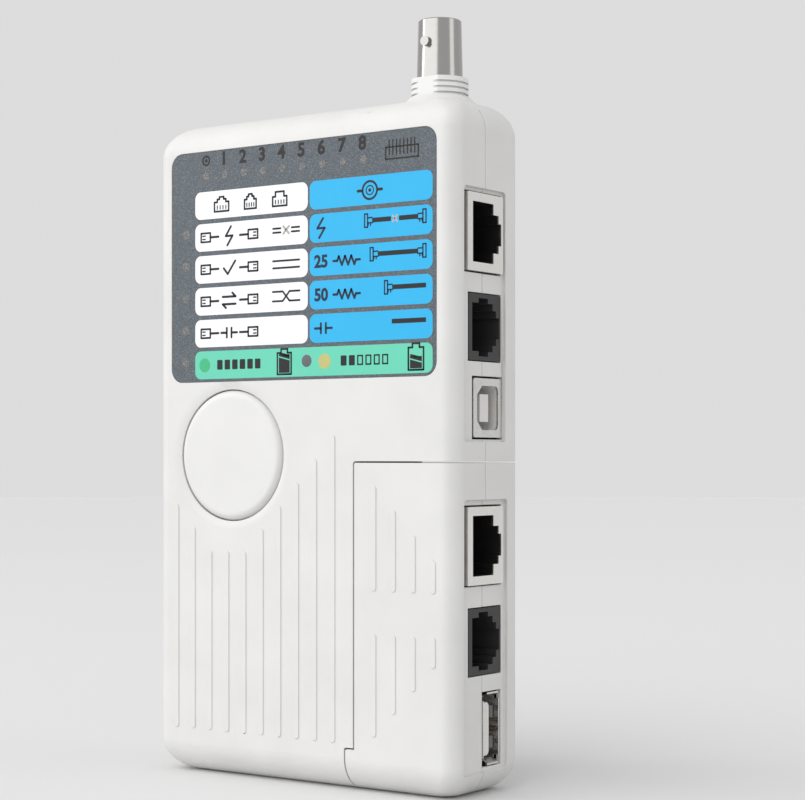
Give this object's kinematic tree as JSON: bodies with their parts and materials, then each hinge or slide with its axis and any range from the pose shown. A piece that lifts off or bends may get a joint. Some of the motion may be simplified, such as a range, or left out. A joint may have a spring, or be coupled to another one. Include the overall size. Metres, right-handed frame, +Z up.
{
  "type": "network cable tester",
  "caption": "Upright handheld cable tester with a printed LED overlay, round power button, coax jack on top, side sockets, battery door and a detachable remote unit.",
  "frame": {"origin": "middle of the underside it stands on", "axes": "+Z up towards the coax jack, -Y out of the front face, +X to the side with the sockets"},
  "size_m": [0.079, 0.0253, 0.1586],
  "materials": {
    "case": "fine satin moulded ABS, warm white",
    "remote_case": "fine satin moulded ABS, warm white",
    "door": "fine satin moulded ABS, warm white",
    "overlay": "printed polyester film, fine speckled grey",
    "button": "satin moulded ABS",
    "plunger": "black acetal",
    "switch": "black moulded nylon",
    "board": "glass-epoxy board, green solder mask",
    "led": "clear epoxy LED",
    "lead_wire": "tinned wire",
    "chip": "black moulded epoxy with tinned legs",
    "resistor": "black chip body",
    "capacitor": "aluminium can in a dark sleeve",
    "sounder": "black moulded case",
    "shield": "tin-plated folded sheet",
    "jack_body": "black moulded nylon",
    "contact": "gold-flashed phosphor bronze",
    "usb_metal": "nickel-plated sheet",
    "usb_tongue": "light moulded tongue",
    "coax_metal": "nickel-plated barrel",
    "coax_body": "white moulded body and collar",
    "coax_insulator": "white insulator",
    "battery": "plain wrapped nine-volt block",
    "terminal": "nickel-plated snaps",
    "clip": "soft black strap",
    "lead_red": "red insulation",
    "lead_black": "black insulation",
    "screw": "zinc-plated steel"
  },
  "bodies": {
    "main": {"front_shell": "case", "back_shell": "case", "label_overlay": "overlay", "main_board": "board", "row_leds": "led", "column_leds": "led", "battery_led": "led", "led_leads": "lead_wire", "switch_body": "switch", "microcontroller": "chip", "board_resistors": "resistor", "board_capacitors": "capacitor", "buzzer": "sounder", "rj45_shield_main": "shield", "rj45_insert_main": "jack_body", "rj45_contacts_main": "contact", "phone_jack_main": "jack_body", "phone_contacts_main": "contact", "usb_b_shell": "usb_metal", "usb_b_insert": "usb_tongue", "usb_b_contacts": "contact", "bnc_barrel": "coax_metal", "bnc_base": "coax_body", "bnc_insulator": "coax_insulator", "bnc_contact": "contact", "battery_case": "battery", "battery_terminals": "terminal", "battery_clip": "clip", "battery_lead_red": "lead_red", "battery_lead_black": "lead_black", "case_screws": "screw", "board_screws": "screw"},
    "button": {"power_button": "button", "switch_plunger": "plunger"},
    "door": {"battery_door": "door"},
    "remote": {"remote_front_shell": "remote_case", "remote_back_shell": "remote_case", "remote_board": "board", "rj45_shield_remote": "shield", "rj45_insert_remote": "jack_body", "rj45_contacts_remote": "contact", "phone_jack_remote": "jack_body", "phone_contacts_remote": "contact", "usb_a_shell": "usb_metal", "usb_a_insert": "usb_tongue", "usb_a_contacts": "contact", "remote_resistors": "resistor", "remote_screws": "screw", "remote_board_screw": "screw"}
  },
  "joints": [
    {"name": "remote_slide", "type": "slide", "parent": "main", "child": "remote", "axis": [0, 0, -1], "range_m": [0, 0.055]},
    {"name": "button_press", "type": "slide", "parent": "main", "child": "button", "axis": [0, 1, 0], "range_m": [0, 0.0008], "stiffness_N_per_m": 1200, "springref_m": -0.0006},
    {"name": "battery_door_slide", "type": "slide", "parent": "main", "child": "door", "axis": [0, 0, -1], "range_m": [0, 0.055]}
  ]
}
